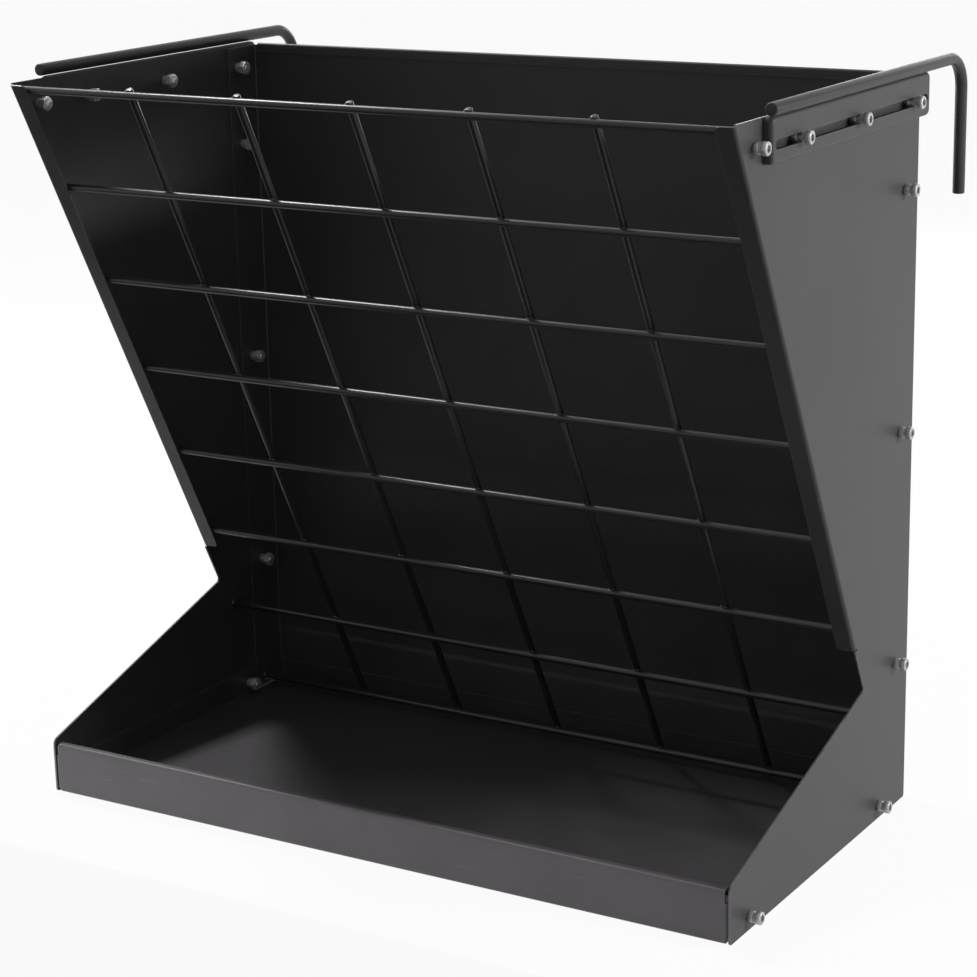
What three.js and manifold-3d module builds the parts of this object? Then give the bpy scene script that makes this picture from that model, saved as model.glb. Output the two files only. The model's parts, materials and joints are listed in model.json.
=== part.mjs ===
// Hanging hay feeder box: folded sheet steel, a welded wire grille and two sliding fence hooks.
// Millimetres, +Z up. The animal eats from the -Y side and the hooks reach over a fence on the +Y side.
import * as THREE from 'three';
import { mergeVertices } from 'three/addons/utils/BufferGeometryUtils.js';
import Module from 'manifold-3d';

const wasm = await Module();
wasm.setup();

// Overall body
const body_width = 620;
const body_depth = 320;
const body_height = 585;
const sheet = 1.5;
const bend_inner = 1.5;
const coat_gap = 0.1;
const weld_gap = 0.3;
const cut_overrun = 5;

// Side panels
const side_front_height = 45;
const waist_from_back = 86;
const waist_z = 118;
const lip_corner_radius = 7;
const waist_corner_radius = 3;
const panel_corner_radius = 2.5;
const flange_width = 15;
const flange_corner_radius = 4;
const flange_start = 42;
const flange_stop_short = 0.5;
const relief_width = 2;
const relief_depth = 1.5;

// Back panel
const back_flange_depth = 40;
const back_hem_length = 8;
const hem_gap = 0.8;
const hem_end_gap = 3;

// Feed pan
const pan_front_height = 42;
const pan_lip_depth = 9;
const pan_lip_drop = 7;
const pan_side_height = 24;
const pan_side_start = 18;
const pan_side_stop_short = 3;
const pan_rear_height = 20;
const pan_rear_gap = 0.4;
const pan_tab_depth = 16;
const pan_tab_start = 4;
const pan_tab_stop_short = 3;

// Wire grille, with places measured up the sloping front from the waist
const wire_diameter = 6;
const rail_diameter = 6;
const rail_from_top = 8.4;
const cross_pitch = 91;
const upright_pitch = 100;
const upright_count = 5;
const upright_set_down = 1.8;
const upright_top_past = 3;
const upright_floor_gap = 3;

// Fastener places on each side panel
const hook_line_drop = 19;
const stop_screw_inset = 32;
const slot_screw_front_inset = 92;
const slot_screw_back_inset = 28;
const slot_screw_count = 3;
const back_screw_inset = 24.5;
const back_screw_base = 122;
const back_screw_drop = 85.5;
const back_screw_count = 3;
const pan_screw_height = 11;
const pan_screw_front_inset = 31.5;
const pan_screw_clear = 13;

// Collar screws and shoulder nuts
const screw_diameter = 6;
const hole_diameter = 6.6;
const collar_diameter = 8.6;
const collar_length = 4.3;
const head_diameter = 10;
const head_length = 4.6;
const head_edge = 0.8;
const plain_head_start = 5.8;
const slot_head_start = 10.3;
const screw_inner_length = 14;
const screw_tip = 0.8;
const socket_across = 5;
const socket_depth = 2.5;
const nut_across = 10;
const nut_hex_length = 5.5;
const nut_shoulder_diameter = 8.2;
const nut_shoulder_length = 5;

// Fence hooks
const rod_diameter = 9.5;
const rod_offset = 6;
const rod_bend_radius = 25;
const fence_gap = 65;
const hook_leg_drop = 102;
const bracket_front = 44;
const bracket_past_back = 4;
const bracket_rise = 0.5;
const bracket_height = 33;
const bracket_depth = 7;
const bracket_gap = 0.3;
const bracket_corner_radius = 5;
const slot_clearance = 0.4;
const slot_end_margin = 5.5;

// Smoothness of arcs and round bars
const arc_steps = 4;
const edge_steps = 3;
const bend_steps = 10;
const wire_sides = 16;
const rod_sides = 12;
const screw_sides = 12;
const hex_sides = 6;
const same_point = 0.001;

// Places worked out from the sizes
const bend_outer = bend_inner + sheet;
const hem_outer = sheet + hem_gap / 2;
const half_width = body_width / 2;
const inner_face = half_width - sheet;
const nested_face = inner_face - coat_gap;
const nested_inner = nested_face - sheet;
const waist_y = body_depth - waist_from_back;
const lean = Math.atan2(waist_y, body_height - waist_z);
const slope_length = Math.hypot(waist_y, body_height - waist_z);
const fold_top = slope_length - bend_outer * Math.tan(lean);
const flange_stop = fold_top - flange_stop_short;
const back_flange_front = body_depth - back_flange_depth;
const wire_radius = wire_diameter / 2;
const rod_radius = rod_diameter / 2;
const cross_set_back = sheet + weld_gap + wire_radius;
const rail_set_back = sheet + weld_gap + rail_diameter / 2;
const upright_set_back = cross_set_back + wire_diameter - upright_set_down;
const rail_along = slope_length - rail_from_top;
const upright_foot_z = sheet + upright_floor_gap - (upright_set_back - wire_radius) * Math.sin(lean);
const upright_bottom = (upright_foot_z - waist_z) / Math.cos(lean);
const cross_count = Math.floor((rail_along - upright_bottom - wire_radius) / cross_pitch);
const bracket_back = body_depth + bracket_past_back;
const bracket_top = body_height + bracket_rise;
const bracket_bottom = bracket_top - bracket_height;
const hook_line_z = body_height - hook_line_drop;
const slot_height = screw_diameter + 2 * slot_clearance;
const hook_leg_y = body_depth + fence_gap + rod_radius;
const overall_depth = hook_leg_y + rod_radius;

// Finishes
const coated_sheet = { color: 0x4a4a4d, roughness: 0.5, metalness: 0.25 };
const coated_wire = { color: 0x2c2c2f, roughness: 0.45, metalness: 0.3 };
const coated_hook = { color: 0x3d3d40, roughness: 0.45, metalness: 0.3 };
const zinc = { color: 0xb9bbbd, roughness: 0.35, metalness: 0.85 };

const axis_x = new THREE.Vector3(1, 0, 0);
const axis_y = new THREE.Vector3(0, 1, 0);
const axis_z = new THREE.Vector3(0, 0, 1);

// Solid from a closed geometry, without the triangles that shrink to a line at an axis
function solidOf(geometry) {
  const bare = geometry.clone();
  bare.deleteAttribute('normal');
  bare.deleteAttribute('uv');
  const merged = mergeVertices(bare);
  const corners = merged.index.array;
  const faces = [];
  for (let first = 0; first < corners.length; first += 3) {
    const [a, b, c] = [corners[first], corners[first + 1], corners[first + 2]];
    if (a !== b && b !== c && c !== a) faces.push(a, b, c);
  }
  const vertProperties = new Float32Array(merged.attributes.position.array);
  const triVerts = new Uint32Array(faces);
  return new wasm.Manifold(new wasm.Mesh({ numProp: 3, vertProperties, triVerts }));
}

// Geometry from a solid
function geometryOf(solid) {
  const mesh = solid.getMesh();
  const geometry = new THREE.BufferGeometry();
  geometry.setAttribute('position', new THREE.BufferAttribute(new Float32Array(mesh.vertProperties), 3));
  geometry.setIndex(new THREE.BufferAttribute(new Uint32Array(mesh.triVerts), 1));
  geometry.computeVertexNormals();
  return geometry;
}

function joined(solids) {
  return solids.reduce((whole, solid) => whole.add(solid));
}

function cutBy(solid, cutters) {
  return cutters.reduce((rest, cutter) => rest.subtract(cutter), solid);
}

// Right-hand piece as drawn, or its mirror image for the left side
function handed(geometry, side) {
  if (side > 0) return geometry;
  const mirror = geometry.clone().scale(-1, 1, 1);
  const corners = mirror.index.array;
  for (let first = 0; first < corners.length; first += 3) {
    [corners[first], corners[first + 1]] = [corners[first + 1], corners[first]];
  }
  mirror.computeVertexNormals();
  return mirror;
}

function namedMesh(name, geometry, finish) {
  const mesh = new THREE.Mesh(geometry, new THREE.MeshStandardMaterial(finish));
  mesh.name = name;
  return mesh;
}

// Points of the arc that rounds a corner between the directions back and ahead
function cornerArc(corner, back, ahead, radius) {
  const half_opening = Math.acos(back.dot(ahead)) / 2;
  const reach = radius / Math.tan(half_opening);
  const middle = back.clone().add(ahead).normalize();
  const centre = corner.clone().addScaledVector(middle, radius / Math.sin(half_opening));
  const from = corner.clone().addScaledVector(back, reach).sub(centre);
  const to = corner.clone().addScaledVector(ahead, reach).sub(centre);
  const turn = Math.atan2(from.cross(to), from.dot(to));
  return Array.from({ length: arc_steps + 1 }, (_, step) =>
    from.clone().rotateAround(new THREE.Vector2(), (turn * step) / arc_steps).add(centre));
}

// Closed outline through corners given as [across, up] or, where one is rounded, [across, up, radius]
function outline(corners) {
  const places = corners.map(([across, up]) => new THREE.Vector2(across, up));
  const points = [];
  corners.forEach(([, , radius], index) => {
    const here = places[index];
    const back = places.at(index - 1).clone().sub(here).normalize();
    const ahead = places[(index + 1) % places.length].clone().sub(here).normalize();
    points.push(...(radius ? cornerArc(here, back, ahead, radius) : [here]));
  });
  return new THREE.Shape(points.filter((point, index) => point.distanceTo(points.at(index - 1)) > same_point));
}

function rectangle(left, bottom, right, top, radius) {
  return outline([
    [left, bottom, radius],
    [right, bottom, radius],
    [right, top, radius],
    [left, top, radius],
  ]);
}

function circle(diameter, sides) {
  const centre = new THREE.Vector2();
  return new THREE.Shape(Array.from({ length: sides }, (_, side) =>
    new THREE.Vector2(diameter / 2, 0).rotateAround(centre, (2 * Math.PI * side) / sides)));
}

function extruded(shape, depth) {
  return new THREE.ExtrudeGeometry(shape, { depth, bevelEnabled: false });
}

// Outline drawn in Y and Z, extruded along X
function alongX(shape, from, to) {
  const geometry = extruded(shape, to - from);
  geometry.applyMatrix4(new THREE.Matrix4().makeBasis(axis_y, axis_z, axis_x));
  return geometry.translate(from, 0, 0);
}

// Outline drawn in X and Z, extruded along Y
function alongY(shape, from, to) {
  const geometry = extruded(shape, to - from);
  geometry.applyMatrix4(new THREE.Matrix4().makeBasis(axis_x, axis_z, axis_y.clone().negate()));
  return geometry.translate(0, to, 0);
}

// Outline drawn in X and Y, extruded along Z
function alongZ(shape, from, to) {
  return extruded(shape, to - from).translate(0, 0, from);
}

// Round bar along X, centred on a place in Y and Z
function barAlongX(diameter, from, to, y, z, sides) {
  const bar = new THREE.CylinderGeometry(diameter / 2, diameter / 2, to - from, sides);
  return bar.rotateZ(-Math.PI / 2).translate((from + to) / 2, y, z);
}

// Screw holes drilled along X through every wall of a solid at places in Y and Z
function drilled(solid, places) {
  const reach = half_width + cut_overrun;
  return cutBy(solid, places.map(([y, z]) => solidOf(barAlongX(hole_diameter, -reach, reach, y, z, screw_sides))));
}

// Even places in Y and Z from one place to another, both included
function evenPlaces(count, from, to) {
  return Array.from({ length: count }, (_, index) =>
    from.map((start, axis) => start + ((to[axis] - start) * index) / (count - 1)));
}

// Fastener places in Y and Z: the hook's stop, the hook slot, the back edge and the pan
const stopPlace = [stop_screw_inset, hook_line_z];

function slotPlaces() {
  const last = body_depth - slot_screw_back_inset;
  return evenPlaces(slot_screw_count, [slot_screw_front_inset, hook_line_z], [last, hook_line_z]);
}

function backPlaces() {
  const y = body_depth - back_screw_inset;
  return evenPlaces(back_screw_count, [y, back_screw_base], [y, body_height - back_screw_drop]);
}

function panPlaces() {
  return [
    [pan_screw_front_inset, pan_screw_height],
    [back_flange_front - pan_screw_clear, pan_screw_height],
  ];
}

// Place in Y and Z at a distance up the slope from the waist and a distance into the panel
function slopePoint(along, inward) {
  return [
    waist_y - along * Math.sin(lean) + inward * Math.cos(lean),
    waist_z + along * Math.cos(lean) + inward * Math.sin(lean),
  ];
}

// Piece drawn on the sloping front (X across, Y into the feeder, Z up the slope), put in place
function ontoSlope(geometry) {
  return geometry.rotateX(lean).translate(0, waist_y, waist_z);
}

// Flat of the side panel, with its sloping edge drawn back to the fold, and a relief cut below the fold
function sidePlateOutline() {
  const relief = bend_outer + relief_depth;
  return outline([
    [0, 0, panel_corner_radius],
    [body_depth, 0, panel_corner_radius],
    [body_depth, body_height, panel_corner_radius],
    slopePoint(fold_top, bend_outer),
    slopePoint(flange_start, bend_outer),
    slopePoint(flange_start, relief),
    slopePoint(flange_start - relief_width, relief),
    slopePoint(flange_start - relief_width, 0),
    [waist_y, waist_z, waist_corner_radius],
    [0, side_front_height, lip_corner_radius],
  ]);
}

// Fold and flange turned inwards along the sloping edge
function sideFlange() {
  const overlap = bend_outer + relief_depth / 2;
  const free_edge = half_width - flange_width;
  const folded_edge = half_width - bend_outer;
  const fold = outline([
    [half_width, 0, bend_outer],
    [half_width, overlap],
    [inner_face, overlap],
    [inner_face, sheet, bend_inner],
    [half_width - flange_width / 2, sheet],
    [half_width - flange_width / 2, 0],
  ]);
  const face = outline([
    [folded_edge, flange_start],
    [folded_edge, flange_stop],
    [free_edge, flange_stop, flange_corner_radius],
    [free_edge, flange_start, flange_corner_radius],
  ]);
  return [alongZ(fold, flange_start, flange_stop), alongY(face, 0, sheet)].map(ontoSlope).map(solidOf);
}

function sidePanel() {
  const plate = solidOf(alongX(sidePlateOutline(), inner_face, half_width));
  const places = [stopPlace, ...slotPlaces(), ...backPlaces(), ...panPlaces()];
  return geometryOf(drilled(joined([plate, ...sideFlange()]), places));
}

// Back panel: its side flanges lie inside the side panels, and its top edge is folded into a closed hem
function backPanel() {
  const web_front = body_depth - sheet;
  const channel = outline([
    [-nested_face, back_flange_front],
    [-nested_face, body_depth, bend_outer],
    [nested_face, body_depth, bend_outer],
    [nested_face, back_flange_front],
    [nested_inner, back_flange_front],
    [nested_inner, web_front, bend_inner],
    [-nested_inner, web_front, bend_inner],
    [-nested_inner, back_flange_front],
  ]);
  const hem_front = body_depth - 2 * hem_outer;
  const hem_top = body_height - sheet;
  const hem = outline([
    [body_depth, body_height, hem_outer],
    [hem_front, body_height, hem_outer],
    [hem_front, body_height - back_hem_length],
    [hem_front + sheet, body_height - back_hem_length],
    [hem_front + sheet, hem_top, hem_gap / 2],
    [web_front, hem_top, hem_gap / 2],
    [web_front, body_height - 2 * back_hem_length],
    [body_depth, body_height - 2 * back_hem_length],
  ]);
  const channel_top = body_height - hem_outer;
  const hem_half = nested_face - bend_outer - hem_end_gap;
  const folded = joined([alongZ(channel, 0, channel_top), alongX(hem, -hem_half, hem_half)].map(solidOf));
  return geometryOf(drilled(folded, [...backPlaces(), slotPlaces().at(-1)]));
}

// Section through the feed pan from its rear wall to the lip that is folded back and down at the front
function panSection() {
  const rear = body_depth - sheet - pan_rear_gap;
  return outline([
    [0, 0, bend_outer],
    [rear, 0, bend_outer],
    [rear, pan_rear_height],
    [rear - sheet, pan_rear_height],
    [rear - sheet, sheet, bend_inner],
    [sheet, sheet, bend_inner],
    [sheet, pan_front_height - sheet, bend_inner],
    [pan_lip_depth - sheet, pan_front_height - sheet, bend_inner],
    [pan_lip_depth - sheet, pan_front_height - pan_lip_drop],
    [pan_lip_depth, pan_front_height - pan_lip_drop],
    [pan_lip_depth, pan_front_height, bend_outer],
    [0, pan_front_height, bend_outer],
  ]);
}

// Right-angled edge turned up or back at the right-hand end of the pan
function panEdge(reach) {
  const root = nested_face - bend_outer - cut_overrun;
  return outline([
    [root, 0],
    [nested_face, 0, bend_outer],
    [nested_face, reach],
    [nested_inner, reach],
    [nested_inner, sheet, bend_inner],
    [root, sheet],
  ]);
}

// Feed pan folded from one sheet: floor, lipped front, rear and side walls, and tabs at the front corners
function feedPan() {
  const flat_half = nested_face - bend_outer;
  const wall_stop = back_flange_front - pan_side_stop_short;
  const tab_stop = pan_front_height - pan_lip_drop - pan_tab_stop_short;
  const wall = geometryOf(solidOf(alongY(panEdge(pan_side_height), pan_side_start, wall_stop)));
  const tab = geometryOf(solidOf(alongZ(panEdge(pan_tab_depth), pan_tab_start, tab_stop)));
  const edges = [1, -1].flatMap((side) => [handed(wall, side), handed(tab, side)]);
  const folded = joined([alongX(panSection(), -flat_half, flat_half), ...edges].map(solidOf));
  return geometryOf(drilled(folded, panPlaces()));
}

// Place of a cross wire up the slope
function crossAlong(index) {
  return rail_along - (index + 1) * cross_pitch;
}

// Half length of a cross wire: to the fold of the flange that it lies behind, to the side panel,
// or, low down at the back, to the flanges of the back panel
function crossHalf(index) {
  if (crossAlong(index) > flange_start) return inner_face - bend_inner;
  const y = slopePoint(crossAlong(index), cross_set_back)[0];
  const reaches_back = y + wire_diameter > back_flange_front;
  return (reaches_back ? nested_inner : inner_face) - weld_gap;
}

function crossWire(diameter, half_length) {
  return new THREE.CylinderGeometry(diameter / 2, diameter / 2, 2 * half_length, wire_sides).rotateZ(Math.PI / 2);
}

// Upright wire with a saddle pressed into it at each wire that it is welded to
function uprightWire() {
  const top = rail_along + upright_top_past;
  const wire = new THREE.CylinderGeometry(wire_radius, wire_radius, top - upright_bottom, wire_sides);
  wire.rotateX(Math.PI / 2).translate(0, upright_set_back, (top + upright_bottom) / 2);
  const reach = wire_radius + cut_overrun;
  const rail_cut = rail_diameter + 2 * weld_gap;
  const wire_cut = wire_diameter + 2 * weld_gap;
  const seats = [barAlongX(rail_cut, -reach, reach, rail_set_back, rail_along, wire_sides)];
  for (let index = 0; index < cross_count; index += 1) {
    seats.push(barAlongX(wire_cut, -reach, reach, cross_set_back, crossAlong(index), wire_sides));
  }
  return geometryOf(cutBy(solidOf(wire), seats.map(solidOf)));
}

function grille() {
  const slope = new THREE.Group();
  slope.position.set(0, waist_y, waist_z);
  slope.rotation.x = lean;
  const rail = namedMesh('top_rail', crossWire(rail_diameter, inner_face - bend_inner), coated_wire);
  rail.position.set(0, rail_set_back, rail_along);
  slope.add(rail);
  for (let index = 0; index < cross_count; index += 1) {
    const wire = crossWire(wire_diameter, crossHalf(index));
    const cross = namedMesh(`cross_wire_${index + 1}`, wire, coated_wire);
    cross.position.set(0, cross_set_back, crossAlong(index));
    slope.add(cross);
  }
  const upright = uprightWire();
  for (let index = 0; index < upright_count; index += 1) {
    const wire = namedMesh(`upright_wire_${index + 1}`, upright.clone(), coated_wire);
    wire.position.x = (index - (upright_count - 1) / 2) * upright_pitch;
    slope.add(wire);
  }
  return slope;
}

// Centre line of a hook rod in its own plane: back over the bracket, round a bend and down
class HookLine extends THREE.Curve {
  constructor(front, leg, leg_bottom) {
    super();
    this.stations = [[front, 0, 0]];
    for (let step = 0; step <= bend_steps; step += 1) {
      const turn = (step / bend_steps) * (Math.PI / 2);
      const y = leg - rod_bend_radius + rod_bend_radius * Math.sin(turn);
      this.stations.push([y, rod_bend_radius * (Math.cos(turn) - 1), turn]);
    }
    this.stations.push([leg, leg_bottom, Math.PI / 2]);
  }

  get steps() {
    return this.stations.length - 1;
  }

  getPointAt(t) {
    const [y, z] = this.stations[Math.round(t * this.steps)];
    return new THREE.Vector3(0, y, z);
  }

  getTangentAt(t) {
    const turn = this.stations[Math.round(t * this.steps)][2];
    return new THREE.Vector3(0, Math.cos(turn), -Math.sin(turn));
  }
}

function hookRod() {
  const height = bracket_top + coat_gap + rod_radius;
  const line = new HookLine(bracket_front, hook_leg_y, body_height - hook_leg_drop - height);
  const section = circle(rod_diameter, rod_sides);
  const rod = new THREE.ExtrudeGeometry(section, { steps: line.steps, extrudePath: line });
  return geometryOf(solidOf(rod.translate(half_width + rod_offset, 0, height)));
}

// Block with rounded corners and a rounded outer face, drawn in Y and Z and standing out along X
function roundedBlock(inset, base, face, edge) {
  const [front, back] = [bracket_front + inset, bracket_back - inset];
  const [bottom, top] = [bracket_bottom + inset, bracket_top - inset];
  const shape = rectangle(front, bottom, back, top, bracket_corner_radius - inset);
  const block = new THREE.ExtrudeGeometry(shape, {
    depth: face - base - 2 * edge,
    bevelThickness: edge,
    bevelSize: edge,
    bevelOffset: -edge,
    bevelSegments: edge_steps,
  });
  block.applyMatrix4(new THREE.Matrix4().makeBasis(axis_y, axis_z, axis_x));
  return block.translate(base + edge, 0, 0);
}

// Hook bracket: a shallow pressed box, open towards the side panel, with the slot that the screws run in
function hookBracket() {
  const face = half_width + bracket_depth;
  const open_side = half_width + bracket_gap;
  const root = open_side - cut_overrun - bend_outer;
  const shell = roundedBlock(0, root, face, bend_outer);
  const hollow = roundedBlock(sheet, root - cut_overrun, face - sheet, bend_inner);
  const trim_shape = rectangle(0, 0, bracket_back + cut_overrun, bracket_top + cut_overrun);
  const trim = alongX(trim_shape, root - 2 * cut_overrun, open_side);
  const slot_radius = slot_height / 2;
  const slot_shape = rectangle(
    bracket_front + slot_end_margin,
    hook_line_z - slot_radius,
    bracket_back - slot_end_margin,
    hook_line_z + slot_radius,
    slot_radius,
  );
  const slot = alongX(slot_shape, open_side, face + cut_overrun);
  return geometryOf(cutBy(solidOf(shell), [hollow, trim, slot].map(solidOf)));
}

// Screw along X with its head outboard, from X = 0 at the side panel's outer face
function collarScrew(head_start) {
  const radius = screw_diameter / 2;
  const head_end = head_start + head_length;
  const profile = [
    [0, -screw_inner_length],
    [radius - screw_tip, -screw_inner_length],
    [radius, screw_tip - screw_inner_length],
    [radius, coat_gap],
    [collar_diameter / 2, coat_gap],
    [collar_diameter / 2, collar_length],
    [radius, collar_length],
    [radius, head_start],
    [head_diameter / 2, head_start],
    [head_diameter / 2, head_end - head_edge],
    [head_diameter / 2 - head_edge, head_end],
    [0, head_end],
  ];
  const turned = new THREE.LatheGeometry(profile.map((point) => new THREE.Vector2(...point)), screw_sides);
  turned.rotateZ(-Math.PI / 2);
  const socket_diameter = socket_across / Math.cos(Math.PI / hex_sides);
  const socket = barAlongX(socket_diameter, head_end - socket_depth, head_end + cut_overrun, 0, 0, hex_sides);
  return geometryOf(cutBy(solidOf(turned), [solidOf(socket)]));
}

// Hexagon nut with a round shoulder, from X = 0 at the face that the shoulder is tightened against
function shoulderNut() {
  const across_corners = nut_across / Math.cos(Math.PI / hex_sides);
  const length = nut_shoulder_length + nut_hex_length;
  const hexagon = barAlongX(across_corners, -length, -nut_shoulder_length, 0, 0, hex_sides);
  const overlap = nut_hex_length / 2;
  const shoulder = barAlongX(nut_shoulder_diameter, -nut_shoulder_length - overlap, 0, 0, 0, screw_sides);
  const bore = barAlongX(hole_diameter, -length - cut_overrun, cut_overrun, 0, 0, screw_sides);
  return geometryOf(cutBy(joined([solidOf(hexagon), solidOf(shoulder)]), [solidOf(bore)]));
}

// Screws and nuts of one side; those that hold a second sheet have their nut further in
function fasteners(side, hand) {
  const plain = handed(collarScrew(plain_head_start), side);
  const running = handed(collarScrew(slot_head_start), side);
  const nut = handed(shoulderNut(), side);
  const rows = [
    { name: 'stop', places: [stopPlace], screw: plain },
    { name: 'slot', places: slotPlaces(), screw: running },
    { name: 'back', places: backPlaces(), screw: plain },
    { name: 'pan', places: panPlaces(), screw: plain },
  ];
  return rows.flatMap(({ name, places, screw }) => places.flatMap(([y, z], index) => {
    const ending = `${index + 1}_${hand}`;
    const nested = name === 'back' || name === 'pan' || y > back_flange_front;
    const seat = (nested ? nested_inner : inner_face) - coat_gap;
    const bolt = namedMesh(`${name}_screw_${ending}`, screw.clone(), zinc);
    bolt.position.set(side * half_width, y, z);
    const holder = namedMesh(`${name}_nut_${ending}`, nut.clone(), zinc);
    holder.position.set(side * seat, y, z);
    return [bolt, holder];
  }));
}

// Feeder with its origin under the middle of the whole, hooks included
const feeder = new THREE.Group();
feeder.position.y = -overall_depth / 2;
feeder.add(namedMesh('back_panel', backPanel(), coated_sheet));
feeder.add(namedMesh('feed_pan', feedPan(), coated_sheet));
feeder.add(grille());
for (const [side, hand] of [[-1, 'left'], [1, 'right']]) {
  feeder.add(namedMesh(`side_panel_${hand}`, handed(sidePanel(), side), coated_sheet));
  feeder.add(namedMesh(`hook_bracket_${hand}`, handed(hookBracket(), side), coated_hook));
  feeder.add(namedMesh(`hook_rod_${hand}`, handed(hookRod(), side), coated_hook));
  feeder.add(...fasteners(side, hand));
}

export default feeder;
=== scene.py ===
import json
import math
import random

import bpy
from mathutils import Matrix, Vector

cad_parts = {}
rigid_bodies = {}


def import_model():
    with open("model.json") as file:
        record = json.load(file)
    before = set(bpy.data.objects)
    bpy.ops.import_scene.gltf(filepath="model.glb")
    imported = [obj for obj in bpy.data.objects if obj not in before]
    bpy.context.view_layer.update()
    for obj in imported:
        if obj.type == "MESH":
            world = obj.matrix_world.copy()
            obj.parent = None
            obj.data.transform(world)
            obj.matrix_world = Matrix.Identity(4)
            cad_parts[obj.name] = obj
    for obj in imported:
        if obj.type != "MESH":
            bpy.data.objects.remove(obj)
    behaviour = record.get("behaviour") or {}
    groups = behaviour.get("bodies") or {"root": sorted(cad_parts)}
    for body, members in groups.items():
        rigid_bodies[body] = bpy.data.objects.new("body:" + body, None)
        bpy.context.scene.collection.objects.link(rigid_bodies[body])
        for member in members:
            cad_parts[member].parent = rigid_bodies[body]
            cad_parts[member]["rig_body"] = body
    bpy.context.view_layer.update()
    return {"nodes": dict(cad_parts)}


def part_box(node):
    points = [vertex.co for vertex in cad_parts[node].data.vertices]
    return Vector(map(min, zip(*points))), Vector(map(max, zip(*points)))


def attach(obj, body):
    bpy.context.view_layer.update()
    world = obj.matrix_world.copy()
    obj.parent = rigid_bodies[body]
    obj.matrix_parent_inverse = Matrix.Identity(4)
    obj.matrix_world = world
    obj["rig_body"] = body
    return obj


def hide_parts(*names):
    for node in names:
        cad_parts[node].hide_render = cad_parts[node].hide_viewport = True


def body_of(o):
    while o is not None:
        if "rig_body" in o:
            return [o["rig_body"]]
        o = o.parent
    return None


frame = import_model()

# Sizes in metres, as in the CAD source. X runs across from the middle, Y back from the body's front edge
# and Z up from the underside of the pan.
MM = 0.001
HALF_WIDTH = 310 * MM
SHEET = 1.5 * MM
BROKEN_EDGE = 0.25 * MM
BODY_HEIGHT = 585 * MM
OVERALL_DEPTH = 394.5 * MM
FRONT_EDGE = -OVERALL_DEPTH / 2

# The sloping front runs from the waist up to the front top corner
WAIST_Y = 234 * MM
WAIST_Z = 118 * MM
LEAN = math.atan2(WAIST_Y, BODY_HEIGHT - WAIST_Z)
SLOPE_LENGTH = math.hypot(WAIST_Y, BODY_HEIGHT - WAIST_Z)
FLANGE_START = 42 * MM
FLANGE_WIDTH = 15 * MM

# Wire grille: the cross wires lie in front, the upright wires behind them
WIRE_RADIUS = 3 * MM
WIRE_END_ROUNDING = 0.6 * MM
WELD_GAP = 0.3 * MM
CROSS_SET_BACK = SHEET + WELD_GAP + WIRE_RADIUS
UPRIGHT_SET_BACK = CROSS_SET_BACK + 4.2 * MM
RAIL_ALONG = SLOPE_LENGTH - 8.4 * MM
CROSS_PITCH = 91 * MM
CROSS_COUNT = 7
UPRIGHT_PITCH = 100 * MM
UPRIGHT_COUNT = 5
UPRIGHT_TOP_PAST = 3 * MM

# Half sizes of a weld lump across, into the feeder and up the slope, and where the outer ones lie
CROSSING_WELD = (4.3 * MM, 1.7 * MM, 4.3 * MM)
RAIL_FLANGE_WELD = (5 * MM, 1.6 * MM, 4.6 * MM)
CROSS_FLANGE_WELD = (5 * MM, 1.5 * MM, 4.2 * MM)
WIRE_END_WELD = (1.5 * MM, 4.4 * MM, 4.4 * MM)
FLANGE_WELD_ACROSS = HALF_WIDTH - FLANGE_WIDTH / 2 - 1 * MM
FLANGE_WELD_SET_BACK = SHEET + 0.6 * MM
WIRE_END_WELD_INSET = 0.4 * MM
LUMP_LEAST = 0.86
LUMP_MOST = 1.1

# Fence hooks
ROD_RADIUS = 4.75 * MM
ROD_END_ROUNDING = 1.0 * MM
ROD_ACROSS = HALF_WIDTH + 6 * MM
ROD_BEND_RADIUS = 25 * MM
ROD_FRONT = 44 * MM
ROD_HEIGHT = 590.35 * MM
LEG_Y = 389.75 * MM
LEG_BOTTOM = 483 * MM

# Collar screws, measured along the screw from the side panel's outer face
COAT_GAP = 0.1 * MM
COLLAR_END = 4.3 * MM
COLLAR_RADIUS = 4.3 * MM
COLLAR_EDGE_RADIUS = 4.15 * MM
COLLAR_FACE_RADIUS = 3.8 * MM
COLLAR_ROUNDING = 0.6 * MM
PLAIN_HEAD = 5.8 * MM
SLOT_HEAD = 10.3 * MM
HEAD_LENGTH = 4.6 * MM
HEAD_RADIUS = 5 * MM
HEAD_EDGE_RADIUS = 4.85 * MM
HEAD_CORNER_RADIUS = 4.5 * MM
HEAD_FACE_RADIUS = 4.0 * MM
HEAD_BACK_ROUNDING = 0.5 * MM
HEAD_FRONT_ROUNDING = 1.0 * MM
SOCKET_HALF = 2.5 * MM
SOCKET_DEPTH = 2.5 * MM
SOCKET_OVERRUN = 4 * MM
SCREW_LENGTH = 14 * MM
SCREW_RADIUS = 3 * MM
SCREW_CORE_RADIUS = 2.6 * MM
SCREW_TIP_RADIUS = 2.1 * MM
SCREW_TIP_LENGTH = 0.6 * MM
THREAD_START = 0.5 * MM
THREAD_DEPTH = 0.45 * MM
THREAD_PITCH = 1.0 * MM

# Shoulder nuts, measured along the screw from the face that they are tightened against
NUT_LENGTH = 10.5 * MM
NUT_HALF = 5 * MM
NUT_CORNER_RADIUS = 6.1 * MM
NUT_CHAMFER = 0.9 * MM
SHOULDER_LENGTH = 5 * MM
SHOULDER_RADIUS = 4.1 * MM
SHOULDER_OVERLAP = 1.5 * MM
NUT_HOLE_RADIUS = 3.3 * MM
HOLE_OVERRUN = 2 * MM

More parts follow.
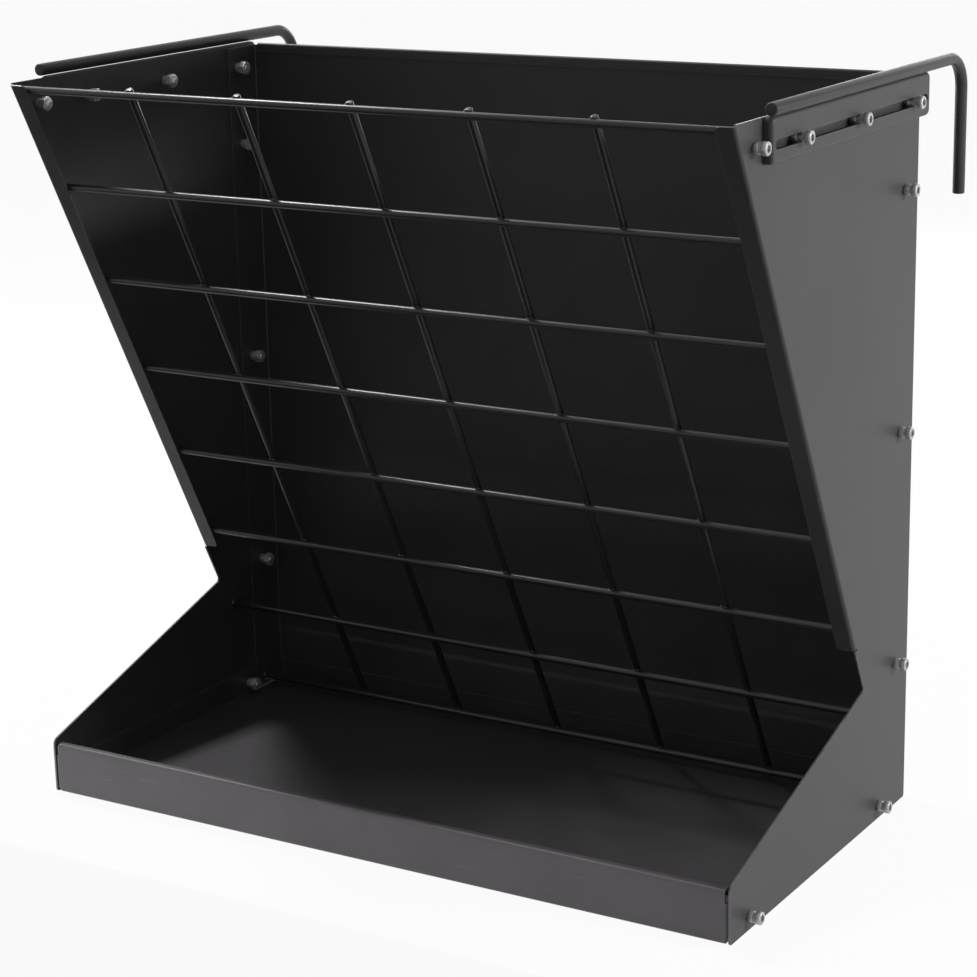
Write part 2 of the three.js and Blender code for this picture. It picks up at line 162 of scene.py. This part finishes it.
# How finely the round pieces are drawn, and how their meshes are cleaned
BAR_SIDES = 28
TURNED_SIDES = 36
HEXAGON = 6
BEND_STEPS = 16
THREAD_STEPS = 20
MERGE_DISTANCE = 0.01 * MM
SHEET_MERGE_DISTANCE = 0.005 * MM
FLAT_DEGREES = 0.5

# Camera worked out from the photograph's own perspective
CAMERA_PLACE = (1.0648, -1.75195, 0.8208)
CAMERA_YAW = math.radians(31.382)
CAMERA_PITCH = math.radians(15.538)
CAMERA_ROLL = math.radians(-1.208)
CAMERA_LENS = 97.06
CAMERA_SENSOR = 36

# Studio
FLOOR_SIZE = 60
FLOOR_DROP = 1 * MM
FLOOR_SHARE = 0.95
DIM_LIGHT = 0.12
WHITE = (1, 1, 1, 1)
FLOOR_PAPER = (0.8, 0.8, 0.8, 1)
CARD_BLACK = (0.01, 0.01, 0.01, 1)
PAN_LIP = (0, -0.2, 0.022)

HANDS = {"left": -1, "right": 1}
chance = random.Random(7)


class Value:
    """A number or colour that changes over a surface, with Python's operators for its maths."""

    def __init__(self, shading, socket):
        self.shading = shading
        self.socket = socket

    def __add__(self, other):
        return self.shading.maths("ADD", self, other)

    def __sub__(self, other):
        return self.shading.maths("SUBTRACT", self, other)

    def __rsub__(self, other):
        return self.shading.maths("SUBTRACT", other, self)

    def __mul__(self, other):
        return self.shading.maths("MULTIPLY", self, other)

    __radd__ = __add__
    __rmul__ = __mul__


class Shading:
    """Nodes of a material, or of the light all round the feeder."""

    def __init__(self, tree):
        self.tree = tree
        tree.nodes.clear()

    def node(self, kind, settings=None, inputs=None, output=0):
        """Adds a node, sets it up, fills its sockets and returns one of its outputs, if it has any."""
        made = self.tree.nodes.new(kind)
        for setting, value in (settings or {}).items():
            setattr(made, setting, value)
        for socket, value in (inputs or {}).items():
            if isinstance(value, Value):
                self.tree.links.new(value.socket, made.inputs[socket])
            else:
                made.inputs[socket].default_value = value
        return Value(self, made.outputs[output]) if len(made.outputs) else None

    def maths(self, operation, *values):
        return self.node("ShaderNodeMath", {"operation": operation}, dict(enumerate(values)))

    def clamped(self, value):
        return self.node("ShaderNodeClamp", inputs={"Value": value})

    def shown_behind(self):
        """1 where the backdrop is seen straight, or in a gloss or through glass."""
        straight = self.node("ShaderNodeLightPath", output="Is Camera Ray")
        in_gloss = self.node("ShaderNodeLightPath", output="Is Glossy Ray")
        through = self.node("ShaderNodeLightPath", output="Is Transmission Ray")
        return self.clamped(straight + in_gloss + through)


class Finish(Shading):
    """A material of this feeder or of its studio."""

    def __init__(self, name):
        self.material = bpy.data.materials.new(name)
        self.material.use_nodes = True
        super().__init__(self.material.node_tree)

    def mixed(self, share, first, second):
        """Colour between two colours."""
        return self.node(
            "ShaderNodeMix", {"data_type": "RGBA"}, {"Factor": share, 6: first, 7: second}, output=2
        )

    def noise(self, scale, detail, roughness, stretch=None):
        place = self.node("ShaderNodeTexCoord", output="Object")
        if stretch:
            place = self.node("ShaderNodeMapping", inputs={"Vector": place, "Scale": stretch})
        return self.node(
            "ShaderNodeTexNoise",
            inputs={"Vector": place, "Scale": scale, "Detail": detail, "Roughness": roughness},
        )

    def between(self, value, low, high):
        """0 below low, 1 above high."""
        return self.node(
            "ShaderNodeMapRange",
            {"interpolation_type": "SMOOTHSTEP"},
            {"Value": value, "From Min": low, "From Max": high},
        )

    def edge_mask(self, width):
        """1 along the edges of the metal, 0 on its faces."""
        rounded = self.node("ShaderNodeBevel", {"samples": 4}, {"Radius": width})
        true_normal = self.node("ShaderNodeNewGeometry", output="Normal")
        agreement = self.node(
            "ShaderNodeVectorMath",
            {"operation": "DOT_PRODUCT"},
            {0: rounded, 1: true_normal},
            output="Value",
        )
        return self.between(1 - agreement, low=0.01, high=0.16)

    def bump(self, height, distance, strength, normal=None):
        """Normal that follows a height, laid over another normal where one is given."""
        inputs = {"Height": height, "Distance": distance, "Strength": strength}
        if normal:
            inputs["Normal"] = normal
        return self.node("ShaderNodeBump", inputs=inputs)

    def metal(self, colour, roughness, normal, metallic=0.0, shine=0.5):
        shader = self.node(
            "ShaderNodeBsdfPrincipled",
            inputs={
                "Base Color": colour,
                "Roughness": roughness,
                "Metallic": metallic,
                "Specular IOR Level": shine,
                "Normal": normal,
            },
        )
        return self.done(shader)

    def done(self, shader):
        self.node("ShaderNodeOutputMaterial", inputs={"Surface": shader})
        return self.material


def coat_colour(shade):
    """Grey with the faint plum cast of the powder coat."""
    return (shade * 1.04, shade * 0.98, shade * 1.04, 1)


def powder_coat(name, shade, roughness, shine):
    """Baked powder coat on steel: orange-peel skin, clouds in the film, scuffs, chips, and edges painted
    lighter as wear and as a painted highlight.
    """
    thin_film = coat_colour(shade * 0.93)
    thick_film = coat_colour(shade * 1.07)
    # Lighter film for the scuffs, and for the edges as wear and as a painted highlight along bends and rims
    scuff_and_highlight_film = coat_colour(shade * 3.2)
    bare_chip = coat_colour(shade * 4.5)
    finish = Finish(name)
    cloud = finish.noise(scale=11, detail=4, roughness=0.6)
    peel = finish.noise(scale=620, detail=2, roughness=0.45)
    grain = finish.noise(scale=2600, detail=2, roughness=0.6)
    streaks = finish.noise(scale=34, detail=5, roughness=0.7, stretch=(1, 1, 7))
    scuffs = finish.between(streaks, low=0.60, high=0.74)
    edges = finish.edge_mask(1.2 * MM)
    flakes = finish.noise(scale=150, detail=4, roughness=0.65)
    chips = edges * finish.between(flakes, low=0.42, high=0.66)
    thickness = finish.between(cloud, low=0.3, high=0.7)
    film = finish.mixed(thickness, thin_film, thick_film)
    # Edges lightened partly as wear and partly as a painted highlight standing in for light on bends and rims;
    # scuffs are wear
    scuffs_and_edge_highlight = finish.clamped(scuffs * 0.15 + edges * 0.5)
    scuffed_and_highlit = finish.mixed(scuffs_and_edge_highlight, film, scuff_and_highlight_film)
    colour = finish.mixed(chips * 0.45, scuffed_and_highlit, bare_chip)
    uneven = (cloud - 0.5) * 0.09 + (grain - 0.5) * 0.08
    skin = finish.clamped(roughness + uneven + scuffs * 0.10 - edges * 0.06)
    orange_peel = finish.bump(peel, distance=0.06 * MM, strength=0.40)
    normal = finish.bump(grain, distance=0.02 * MM, strength=0.35, normal=orange_peel)
    return finish.metal(colour, skin, normal, shine=shine)


def zinc_plate(name):
    """Zinc on turned steel: fine tool marks, a blotchy crystalline film and brighter edges."""
    dull_film = (0.40, 0.405, 0.41, 1)
    bright_film = (0.60, 0.60, 0.60, 1)
    bright_edge = (0.66, 0.66, 0.66, 1)
    finish = Finish(name)
    blotches = finish.noise(scale=420, detail=4, roughness=0.7)
    marks = finish.noise(scale=240, detail=3, roughness=0.6, stretch=(9, 1, 1))
    edges = finish.edge_mask(0.5 * MM)
    film = finish.mixed(finish.between(blotches, low=0.34, high=0.68), dull_film, bright_film)
    colour = finish.mixed(edges * 0.25, film, bright_edge)
    roughness = finish.clamped(0.48 + (blotches - 0.5) * 0.28 - edges * 0.08)
    tooled = finish.bump(marks, distance=0.05 * MM, strength=0.5)
    normal = finish.bump(blotches, distance=0.06 * MM, strength=0.35, normal=tooled)
    return finish.metal(colour, roughness, normal, metallic=0.6)


coated_sheet = powder_coat("coated_sheet", shade=0.072, roughness=0.42, shine=0.21)
coated_wire = powder_coat("coated_wire", shade=0.042, roughness=0.31, shine=0.30)
coated_hook = powder_coat("coated_hook", shade=0.068, roughness=0.40, shine=0.21)
zinc = zinc_plate("zinc")


def deselect_all():
    for each in bpy.context.view_layer.objects:
        each.select_set(False)


def only(piece):
    deselect_all()
    piece.select_set(True)
    bpy.context.view_layer.objects.active = piece


def edit(piece, action):
    """Runs edit-mode operators on a whole piece."""
    only(piece)
    bpy.ops.object.mode_set(mode="EDIT")
    bpy.ops.mesh.select_all(action="SELECT")
    action()
    bpy.ops.object.mode_set(mode="OBJECT")


def apply_modifier(piece, kind, **settings):
    only(piece)
    modifier = piece.modifiers.new(kind.lower(), kind)
    for setting, value in settings.items():
        setattr(modifier, setting, value)
    bpy.ops.object.modifier_apply(modifier=modifier.name)


def round_over(piece, width, segments, sharp_degrees):
    """Rounds over every edge that is sharper than the given angle."""
    sharp = math.radians(sharp_degrees)
    apply_modifier(piece, "BEVEL", width=width, segments=segments, limit_method="ANGLE", angle_limit=sharp)


def settle(piece):
    """Puts a piece's place and turn into its mesh."""
    only(piece)
    bpy.ops.object.transform_apply(location=True, rotation=True, scale=True)


def smooth(piece, degrees):
    only(piece)
    bpy.ops.object.shade_smooth_by_angle(angle=math.radians(degrees))


def merge_and_face_out():
    bpy.ops.mesh.remove_doubles(threshold=MERGE_DISTANCE)
    bpy.ops.mesh.normals_make_consistent(inside=False)


def named(piece, name, material):
    piece.name = name
    piece.data.name = name
    piece.data.materials.clear()
    piece.data.materials.append(material)
    return piece


def copy_of(piece, name):
    """Copy of a piece with a mesh of its own, at the origin."""
    twin = bpy.data.objects.new(name, piece.data.copy())
    twin.data.name = name
    bpy.context.scene.collection.objects.link(twin)
    return twin


def joined(pieces, name):
    deselect_all()
    for piece in pieces:
        piece.select_set(True)
    bpy.context.view_layer.objects.active = pieces[0]
    bpy.ops.object.join()
    whole = bpy.context.view_layer.objects.active
    whole.name = name
    return whole


def cut_away(piece, cutter):
    apply_modifier(piece, "BOOLEAN", object=cutter, operation="DIFFERENCE", solver="EXACT")
    bpy.data.objects.remove(cutter)


def kept_inside(piece, envelope):
    apply_modifier(piece, "BOOLEAN", object=envelope, operation="INTERSECT", solver="EXACT")
    bpy.data.objects.remove(envelope)


def turned(rings):
    """Shape turned about the X axis: a disc drawn out from ring to ring, each given as (along, radius)."""
    deselect_all()
    along, radius = rings[0]
    bpy.ops.mesh.primitive_circle_add(
        vertices=TURNED_SIDES,
        radius=radius,
        fill_type="NGON",
        location=(along, 0, 0),
        rotation=(0, math.pi / 2, 0),
    )
    piece = bpy.context.active_object
    settle(piece)

    def draw_out():
        for (here, size), (there, next_size) in zip(rings, rings[1:]):
            bpy.ops.mesh.extrude_region_move(TRANSFORM_OT_translate={"value": (there - here, 0, 0)})
            scale = next_size / size
            bpy.ops.transform.resize(value=(1, scale, scale), center_override=(there, 0, 0))
        bpy.ops.mesh.select_all(action="SELECT")
        bpy.ops.mesh.normals_make_consistent(inside=False)

    edit(piece, draw_out)
    return piece


def bar(sides, radius, start, stop):
    """Bar along X with flat sides, from start to stop."""
    deselect_all()
    bpy.ops.mesh.primitive_cylinder_add(
        vertices=sides,
        radius=radius,
        depth=stop - start,
        location=((start + stop) / 2, 0, 0),
        rotation=(0, math.pi / 2, 0),
    )
    piece = bpy.context.active_object
    settle(piece)
    return piece


def hexagon_bar(half, start, stop):
    """Hexagon bar along X, given by half its size across the flats."""
    return bar(HEXAGON, half / math.cos(math.pi / HEXAGON), start, stop)


def in_frame(x, y, z):
    """Place measured from the front edge of the body, in the frame of the model."""
    return Vector((x, y + FRONT_EDGE, z))


def on_slope(across, set_back, along):
    """Place on the sloping front, measured up it from the waist and back into the feeder."""
    y = WAIST_Y - along * math.sin(LEAN) + set_back * math.cos(LEAN)
    z = WAIST_Z + along * math.cos(LEAN) + set_back * math.sin(LEAN)
    return in_frame(across, y, z)


def folded_sheet(node, material):
    """Copy of a folded sheet's node with clean faces, broken cut edges and even shading over its bends."""
    deselect_all()
    piece = copy_of(frame["nodes"][node], f"{node}_coated")

    def clean():
        bpy.ops.mesh.remove_doubles(threshold=SHEET_MERGE_DISTANCE)
        bpy.ops.mesh.dissolve_limited(angle_limit=math.radians(FLAT_DEGREES))

    edit(piece, clean)
    named(piece, f"{node}_coated", material)
    round_over(piece, BROKEN_EDGE, segments=2, sharp_degrees=50)
    smooth(piece, 40)
    apply_modifier(piece, "WEIGHTED_NORMAL", weight=90, keep_sharp=True)
    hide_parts(node)
    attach(piece, body_of(frame["nodes"][node])[0])


def make_sheets():
    for node in ("back_panel", "feed_pan", "side_panel_left", "side_panel_right"):
        folded_sheet(node, coated_sheet)
    for hand in HANDS:
        folded_sheet(f"hook_bracket_{hand}", coated_hook)


def wire(name, start, stop):
    """Drawn wire between two places, with its cut ends rounded over."""
    deselect_all()
    direction = stop - start
    bpy.ops.mesh.primitive_cylinder_add(
        vertices=BAR_SIDES,
        radius=WIRE_RADIUS,
        depth=direction.length,
        location=(start + stop) / 2,
        rotation=direction.to_track_quat("Z", "Y").to_euler(),
    )
    piece = bpy.context.active_object
    settle(piece)
    round_over(piece, WIRE_END_ROUNDING, segments=3, sharp_degrees=50)
    named(piece, f"{name}_drawn", coated_wire)
    smooth(piece, 40)
    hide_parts(name)
    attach(piece, "feeder")


def cross_along(row):
    """Distance of a cross wire up the slope; row 0 is the highest."""
    return RAIL_ALONG - (row + 1) * CROSS_PITCH


def half_length(name):
    """Half the length of the rail or of a cross wire, as far as its node reaches."""
    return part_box(name)[1].x


def weld_lump(place, half_sizes):
    """Small uneven lump of weld metal squeezed out between two wires."""
    deselect_all()
    bpy.ops.mesh.primitive_ico_sphere_add(subdivisions=2, radius=1, location=(0, 0, 0))
    lump = bpy.context.active_object
    for vertex in lump.data.vertices:
        vertex.co *= chance.uniform(LUMP_LEAST, LUMP_MOST)
    lump.data.transform(Matrix.Diagonal((*half_sizes, 1)))
    lump.data.transform(Matrix.Rotation(LEAN, 4, "X"))
    lump.data.transform(Matrix.Translation(place))
    return lump


def edge_welds(side):
    """Lumps where the rail and cross wires lie on a flange, or end at the sheets below it."""
    behind_flange = side * FLANGE_WELD_ACROSS
    lumps = [weld_lump(on_slope(behind_flange, FLANGE_WELD_SET_BACK, RAIL_ALONG), RAIL_FLANGE_WELD)]
    for row in range(CROSS_COUNT):
        along = cross_along(row)
        if along > FLANGE_START:
            place = on_slope(behind_flange, FLANGE_WELD_SET_BACK, along)
            lumps.append(weld_lump(place, CROSS_FLANGE_WELD))
        else:
            wire_end = side * (half_length(f"cross_wire_{row + 1}") - WIRE_END_WELD_INSET)
            lumps.append(weld_lump(on_slope(wire_end, CROSS_SET_BACK, along), WIRE_END_WELD))
    return lumps


def make_grille():
    level = {"top_rail": RAIL_ALONG}
    level.update({f"cross_wire_{row + 1}": cross_along(row) for row in range(CROSS_COUNT)})
    for name, along in level.items():
        half = half_length(name)
        wire(name, on_slope(-half, CROSS_SET_BACK, along), on_slope(half, CROSS_SET_BACK, along))
    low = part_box("upright_wire_1")[0].z
    bottom = (low - WAIST_Z - (UPRIGHT_SET_BACK - WIRE_RADIUS) * math.sin(LEAN)) / math.cos(LEAN)
    top = RAIL_ALONG + UPRIGHT_TOP_PAST
    contact = (CROSS_SET_BACK + UPRIGHT_SET_BACK) / 2
    lumps = []
    for index in range(UPRIGHT_COUNT):
        across = (index - (UPRIGHT_COUNT - 1) / 2) * UPRIGHT_PITCH
        foot = on_slope(across, UPRIGHT_SET_BACK, bottom)
        wire(f"upright_wire_{index + 1}", foot, on_slope(across, UPRIGHT_SET_BACK, top))
        lumps += [weld_lump(on_slope(across, contact, along), CROSSING_WELD) for along in level.values()]
    for side in HANDS.values():
        lumps += edge_welds(side)
    welds = named(joined(lumps, "grille_welds"), "grille_welds", coated_wire)
    smooth(welds, 60)
    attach(welds, "feeder")


def hook_rod(hand):
    """Round bar laid back over the bracket, bent down behind the fence rail."""
    deselect_all()
    across = HANDS[hand] * ROD_ACROSS
    bend_start = LEG_Y - ROD_BEND_RADIUS
    leg = ROD_HEIGHT - ROD_BEND_RADIUS - LEG_BOTTOM
    centre = in_frame(across, bend_start, ROD_HEIGHT - ROD_BEND_RADIUS)
    bpy.ops.mesh.primitive_circle_add(
        vertices=BAR_SIDES,
        radius=ROD_RADIUS,
        fill_type="NGON",
        location=in_frame(across, ROD_FRONT, ROD_HEIGHT),
        rotation=(math.pi / 2, 0, 0),
    )
    rod = bpy.context.active_object
    settle(rod)

    def draw_and_bend():
        bpy.ops.mesh.extrude_region_move(TRANSFORM_OT_translate={"value": (0, bend_start - ROD_FRONT, 0)})
        bpy.ops.mesh.spin(steps=BEND_STEPS, angle=math.pi / 2, center=centre, axis=(1, 0, 0))
        bpy.ops.mesh.extrude_region_move(TRANSFORM_OT_translate={"value": (0, 0, -leg)})
        bpy.ops.mesh.select_all(action="SELECT")
        merge_and_face_out()

    edit(rod, draw_and_bend)
    round_over(rod, ROD_END_ROUNDING, segments=3, sharp_degrees=60)
    named(rod, f"hook_rod_{hand}_bent", coated_hook)
    smooth(rod, 40)
    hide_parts(f"hook_rod_{hand}")
    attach(rod, f"hook_{hand}")


def make_hooks():
    for hand in HANDS:
        hook_rod(hand)


def thread(start, stop):
    """Rolled thread wound along X between start and stop, as a coil of a three-cornered section."""
    deselect_all()
    bpy.ops.mesh.primitive_circle_add(vertices=3, radius=1, fill_type="NOTHING")
    coil = bpy.context.active_object
    root = SCREW_RADIUS - THREAD_DEPTH
    crest = THREAD_PITCH / 2
    next_root = THREAD_PITCH * 0.98
    corners = [(0, root), (crest, SCREW_RADIUS), (next_root, root)]
    for vertex, (along, out) in zip(coil.data.vertices, corners):
        vertex.co = (start + along, out, 0)
    apply_modifier(
        coil,
        "SCREW",
        axis="X",
        steps=THREAD_STEPS,
        render_steps=THREAD_STEPS,
        screw_offset=THREAD_PITCH,
        iterations=max(1, int((stop - start) / THREAD_PITCH) - 1),
        use_smooth_shade=False,
    )

    def close():
        bpy.ops.mesh.fill_holes(sides=4)
        merge_and_face_out()

    edit(coil, close)
    return coil


def collar_screw(head):
    """Turned screw with a loose-fitting collar against the panel and a socket head that starts at head."""
    end = head + HEAD_LENGTH
    body = turned([
        (-SCREW_LENGTH, SCREW_TIP_RADIUS),
        (SCREW_TIP_LENGTH - SCREW_LENGTH, SCREW_CORE_RADIUS),
        (COAT_GAP, SCREW_CORE_RADIUS),
        (COAT_GAP, COLLAR_FACE_RADIUS),
        (COAT_GAP + 0.12 * MM, COLLAR_EDGE_RADIUS),
        (COLLAR_ROUNDING, COLLAR_RADIUS),
        (COLLAR_END - COLLAR_ROUNDING, COLLAR_RADIUS),
        (COLLAR_END - 0.2 * MM, COLLAR_EDGE_RADIUS),
        (COLLAR_END, COLLAR_FACE_RADIUS),
        (COLLAR_END, SCREW_RADIUS),
        (head, SCREW_RADIUS),
        (head, HEAD_CORNER_RADIUS),
        (head + 0.15 * MM, HEAD_EDGE_RADIUS),
        (head + HEAD_BACK_ROUNDING, HEAD_RADIUS),
        (end - HEAD_FRONT_ROUNDING, HEAD_RADIUS),
        (end - 0.45 * MM, HEAD_EDGE_RADIUS),
        (end - 0.12 * MM, HEAD_CORNER_RADIUS),
        (end, HEAD_FACE_RADIUS),
    ])
    cut_away(body, hexagon_bar(SOCKET_HALF, end - SOCKET_DEPTH, end + SOCKET_OVERRUN))
    screw = joined([body, thread(THREAD_START - SCREW_LENGTH, 0)], "collar_screw")
    named(screw, "collar_screw", zinc)
    smooth(screw, 38)
    return screw


def shoulder_nut():
    """Hexagon nut with chamfered corners on a round shoulder, tightened against X = 0."""
    hexagon = hexagon_bar(NUT_HALF, -NUT_LENGTH, -SHOULDER_LENGTH)
    chamfers = turned([
        (-NUT_LENGTH - 0.5 * MM, 3.4 * MM),
        (-NUT_LENGTH, 4.5 * MM),
        (NUT_CHAMFER - NUT_LENGTH, NUT_CORNER_RADIUS),
        (-SHOULDER_LENGTH - 0.8 * MM, NUT_CORNER_RADIUS),
        (-SHOULDER_LENGTH + 0.1 * MM, 4.6 * MM),
    ])
    kept_inside(hexagon, chamfers)
    shoulder = turned([
        (-SHOULDER_LENGTH - SHOULDER_OVERLAP, SHOULDER_RADIUS),
        (-0.5 * MM, SHOULDER_RADIUS),
        (-0.15 * MM, 3.95 * MM),
        (0, 3.6 * MM),
    ])
    for part in (hexagon, shoulder):
        cut_away(part, bar(TURNED_SIDES, NUT_HOLE_RADIUS, -NUT_LENGTH - HOLE_OVERRUN, HOLE_OVERRUN))
        edit(part, merge_and_face_out)
    nut = joined([hexagon, shoulder], "shoulder_nut")
    named(nut, "shoulder_nut", zinc)
    smooth(nut, 38)
    return nut


def any_turn():
    """However far the screw or nut happened to be turned when it was tightened."""
    return Matrix.Rotation(chance.uniform(0, 2 * math.pi), 4, "X")


def seat_one(model, node, side, place, spin):
    """Copy of a screw or nut, turned to its side and set at its place."""
    turn = Matrix.Rotation(0 if side > 0 else math.pi, 4, "Z")
    piece = copy_of(model, f"{node}_turned")
    piece.data.transform(Matrix.Translation(place) @ turn @ spin)
    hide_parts(node)
    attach(piece, "feeder")


def make_fasteners():
    plain = collar_screw(PLAIN_HEAD)
    running = collar_screw(SLOT_HEAD)
    nut = shoulder_nut()
    for hand, side in HANDS.items():
        screws = sorted(name for name in frame["nodes"] if name.endswith(hand) and "_screw_" in name)
        for node in screws:
            low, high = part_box(node)
            middle = (low + high) / 2
            model = running if node.startswith("slot") else plain
            seat_one(model, node, side, Vector((side * HALF_WIDTH, middle.y, middle.z)), any_turn())
            nut_node = node.replace("_screw_", "_nut_")
            low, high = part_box(nut_node)
            face = high.x if side > 0 else low.x
            seat_one(nut, nut_node, side, Vector((face, middle.y, middle.z)), any_turn())
    for model in (plain, running, nut):
        bpy.data.objects.remove(model)


def softbox(name, place, aim, width, height, watts):
    lamp = bpy.data.lights.new(name, "AREA")
    lamp.shape = "RECTANGLE"
    lamp.size = width
    lamp.size_y = height
    lamp.energy = watts
    light = bpy.data.objects.new(name, lamp)
    bpy.context.scene.collection.objects.link(light)
    light.location = place
    light.rotation_euler = (Vector(aim) - Vector(place)).to_track_quat("-Z", "Y").to_euler()
    return light


def make_lamps():
    softbox("right_softbox", place=(2.45, 0.8, 1.08), aim=(0.3, 0, 0.5), width=1.1, height=0.12, watts=34)
    for low in (
        softbox("low_front_softbox", place=(-0.3, -1.5, 0.02), aim=PAN_LIP, width=1.2, height=0.03, watts=12.5),
        softbox("low_left_softbox", place=(-1.1, -0.75, 0.02), aim=PAN_LIP, width=0.5, height=0.03, watts=9.5),
    ):
        low.visible_glossy = False
    softbox("top_softbox", place=(-1.6, 0.45, 2.4), aim=(0, 0.05, 0.3), width=0.6, height=0.5, watts=55)
    softbox("left_softbox", place=(-2.2, 0.2, 0.5), aim=(-0.3, 0, 0.4), width=1.2, height=0.8, watts=18)
    softbox("back_softbox", place=(-0.3, 2.6, 0.9), aim=(0, 0, 0.3), width=1.6, height=1.0, watts=24)


def make_floor():
    """Pale floor, white where it is seen, that keeps the feeder's shadow."""
    bpy.ops.mesh.primitive_plane_add(size=FLOOR_SIZE, location=(0, 0, -FLOOR_DROP))
    floor = bpy.context.active_object
    floor.name = "studio_floor"
    finish = Finish("studio_floor")
    paper = finish.node("ShaderNodeBsdfDiffuse", inputs={"Color": FLOOR_PAPER})
    glow = finish.node("ShaderNodeEmission", inputs={"Color": WHITE, "Strength": 1.0})
    share = finish.shown_behind() * FLOOR_SHARE
    mixed = finish.node("ShaderNodeMixShader", inputs={0: share, 1: paper, 2: glow})
    floor.data.materials.append(finish.done(mixed))


def black_card(name, place, across, deep, material, turn=0.0):
    bpy.ops.mesh.primitive_plane_add(size=1, location=place, rotation=(0, turn, 0))
    card = bpy.context.active_object
    card.name = name
    card.scale = (across, deep, 1)
    card.visible_camera = False
    card.data.materials.append(material)


def make_cards():
    """Black cards, unseen by the camera, that keep the inside of the hopper dark.

    Two lie in front of the pan, one on the floor and one level with the lip, and hide the low lamps and the
    bright floor from the back panel. One stands on the right and keeps the right lamp off the left panel.
    """
    finish = Finish("black_card")
    black = finish.done(finish.node("ShaderNodeBsdfDiffuse", inputs={"Color": CARD_BLACK}))
    black_card("raised_card", (-0.55, -1.0, 0.0405), across=2.3, deep=1.4, material=black)
    black_card("floor_card", (-0.55, -0.4, 0.0), across=2.3, deep=0.2, material=black)
    black_card("standing_card", (0.8, 0.4, 0.86), across=0.25, deep=2.2, material=black, turn=math.pi / 2)


def make_world():
    """Dim even light all round, with a white backdrop where it is seen."""
    world = bpy.data.worlds.new("studio_world")
    bpy.context.scene.world = world
    world.use_nodes = True
    light = Shading(world.node_tree)
    dim = light.node("ShaderNodeBackground", inputs={"Color": WHITE, "Strength": DIM_LIGHT})
    white = light.node("ShaderNodeBackground", inputs={"Color": WHITE, "Strength": 1.0})
    mixed = light.node("ShaderNodeMixShader", inputs={0: light.shown_behind(), 1: dim, 2: white})
    light.node("ShaderNodeOutputWorld", inputs={"Surface": mixed})


def make_camera():
    level = math.cos(CAMERA_PITCH)
    forward = Vector((-math.sin(CAMERA_YAW) * level, math.cos(CAMERA_YAW) * level, -math.sin(CAMERA_PITCH)))
    right = Vector((math.cos(CAMERA_YAW), math.sin(CAMERA_YAW), 0))
    up = right.cross(forward)
    rolled_right = right * math.cos(CAMERA_ROLL) + up * math.sin(CAMERA_ROLL)
    rolled_up = up * math.cos(CAMERA_ROLL) - right * math.sin(CAMERA_ROLL)
    lens = bpy.data.cameras.new("photo_camera")
    lens.lens = CAMERA_LENS
    lens.sensor_width = CAMERA_SENSOR
    lens.clip_start = 0.05
    lens.clip_end = 100
    camera = bpy.data.objects.new("photo_camera", lens)
    bpy.context.scene.collection.objects.link(camera)
    turn = Matrix((rolled_right, rolled_up, -forward)).transposed().to_4x4()
    camera.matrix_world = Matrix.Translation(CAMERA_PLACE) @ turn
    bpy.context.scene.camera = camera


def make_studio():
    bpy.context.scene.view_settings.view_transform = "Standard"
    make_world()
    make_floor()
    make_lamps()
    make_cards()
    make_camera()


make_sheets()
make_grille()
make_hooks()
make_fasteners()
make_studio()
